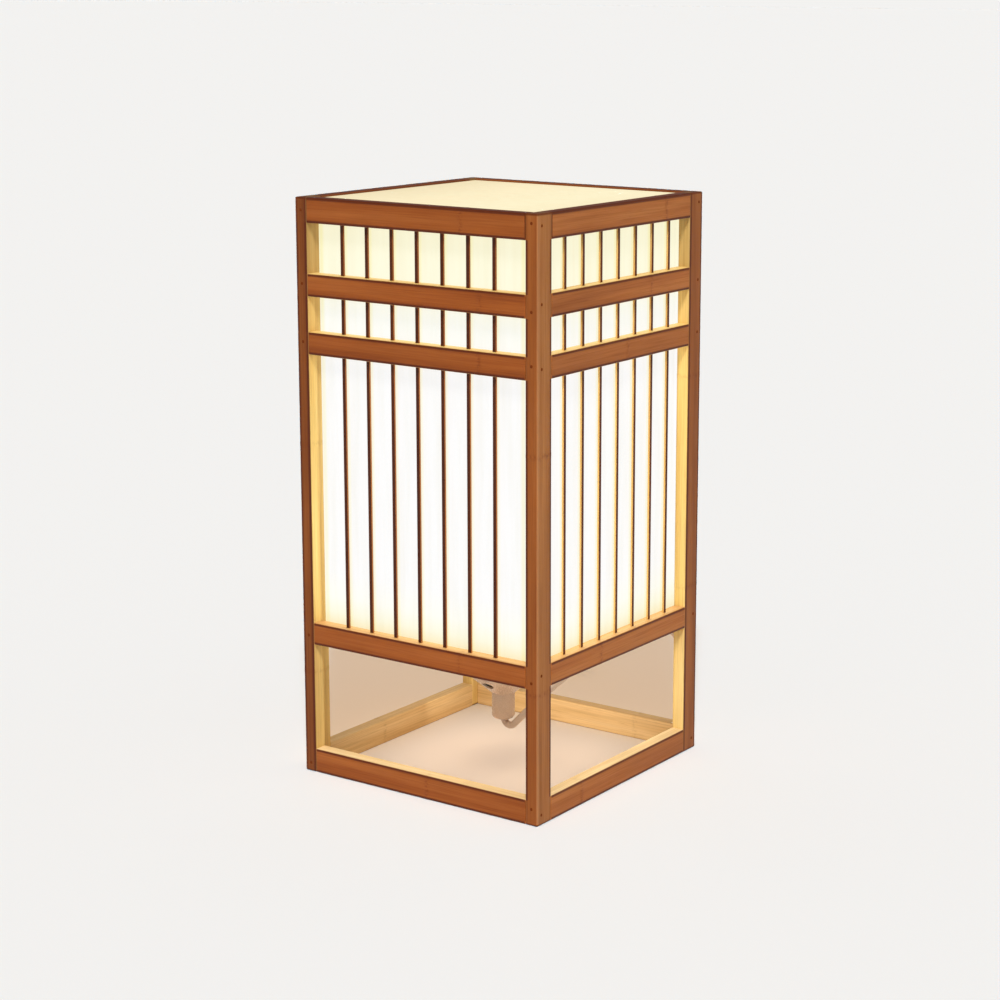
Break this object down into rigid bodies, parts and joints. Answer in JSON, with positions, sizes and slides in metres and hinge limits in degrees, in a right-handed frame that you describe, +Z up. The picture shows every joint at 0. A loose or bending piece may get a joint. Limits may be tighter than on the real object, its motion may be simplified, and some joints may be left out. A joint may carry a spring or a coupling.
{
  "type": "andon floor lamp",
  "caption": "Square bamboo lantern lamp for the floor: open post-and-rail cage, translucent sheets behind thin slats, open base, white lampholder and cord with switch and plug.",
  "frame": {"origin": "on the floor at the middle of the bamboo cage", "axes": "+Z up, the front is -Y, the right-hand side seen from the front is +X; the posts' narrow faces look to the front and back"},
  "size_m": [0.3129, 0.4018, 0.5065],
  "materials": {
    "bamboo_post": "satin lacquered bamboo, warm brown",
    "bamboo_rail": "satin lacquered bamboo, warm brown",
    "bamboo_slat": "satin lacquered bamboo, darker",
    "bamboo_inside": "plain bamboo",
    "shade_sheet": "translucent off-white sheet, matte",
    "pin_steel": "dull",
    "bracket_paint": "white enamel",
    "screw_steel": "zinc plated",
    "zinc_steel": "zinc plated",
    "white_plastic": "glossy white",
    "ceramic_white": "glazed porcelain, white",
    "socket_brass": "plain",
    "bulb_nickel": "nickel plated, rolled thread",
    "bulb_plastic": "white",
    "bulb_frost": "frosted white",
    "cord_white": "white sheath, satin",
    "clip_plastic": "white",
    "tie_plastic": "white",
    "switch_plastic": "white",
    "rocker_plastic": "white",
    "plug_plastic": "white",
    "blade_brass": "plain"
  },
  "bodies": {
    "frame": {"post_front_left": "bamboo_post", "post_front_right": "bamboo_post", "post_back_left": "bamboo_post", "post_back_right": "bamboo_post", "base_rail_front": "bamboo_rail", "base_rail_back": "bamboo_rail", "base_rail_left": "bamboo_rail", "base_rail_right": "bamboo_rail", "lower_rail_front": "bamboo_rail", "lower_rail_back": "bamboo_rail", "lower_rail_left": "bamboo_rail", "lower_rail_right": "bamboo_rail", "middle_rail_front": "bamboo_rail", "middle_rail_back": "bamboo_rail", "middle_rail_left": "bamboo_rail", "middle_rail_right": "bamboo_rail", "upper_rail_front": "bamboo_rail", "upper_rail_back": "bamboo_rail", "upper_rail_left": "bamboo_rail", "upper_rail_right": "bamboo_rail", "top_rail_front": "bamboo_rail", "top_rail_back": "bamboo_rail", "top_rail_left": "bamboo_rail", "top_rail_right": "bamboo_rail", "slats_front": "bamboo_slat", "slats_back": "bamboo_slat", "slats_left": "bamboo_slat", "slats_right": "bamboo_slat", "shade_front": "shade_sheet", "shade_back": "shade_sheet", "shade_left": "shade_sheet", "shade_right": "shade_sheet", "top_panel": "shade_sheet", "panel_ledges": "bamboo_inside", "rail_pins": "pin_steel", "holder_bracket": "bracket_paint", "bracket_screws": "screw_steel", "threaded_tube": "zinc_steel", "cord_grip": "white_plastic", "holder_cup": "white_plastic", "lampholder_shell": "white_plastic", "socket_insert": "ceramic_white", "socket_thread": "socket_brass", "socket_contact": "socket_brass", "cord_lead": "cord_white", "cord_run": "cord_white", "cord_coil": "cord_white", "cord_tail": "cord_white", "cord_clips": "clip_plastic", "clip_nails": "pin_steel", "cord_tie": "tie_plastic", "switch_base": "switch_plastic", "switch_cover": "switch_plastic", "plug_body": "plug_plastic", "plug_blades": "blade_brass"},
    "bulb": {"bulb_cap": "bulb_nickel", "bulb_body": "bulb_plastic", "bulb_globe": "bulb_frost"},
    "rocker": {"switch_rocker": "rocker_plastic"}
  },
  "joints": [
    {"name": "bulb_unscrew", "type": "slide", "parent": "frame", "child": "bulb", "axis": [0, 0, 1], "range_m": [0, 0.026]},
    {"name": "rocker_press", "type": "hinge", "parent": "frame", "child": "rocker", "pos_m": [0, 0.137, 0.0096], "axis": [0, -1, 0], "range_deg": [0, 16]}
  ]
}
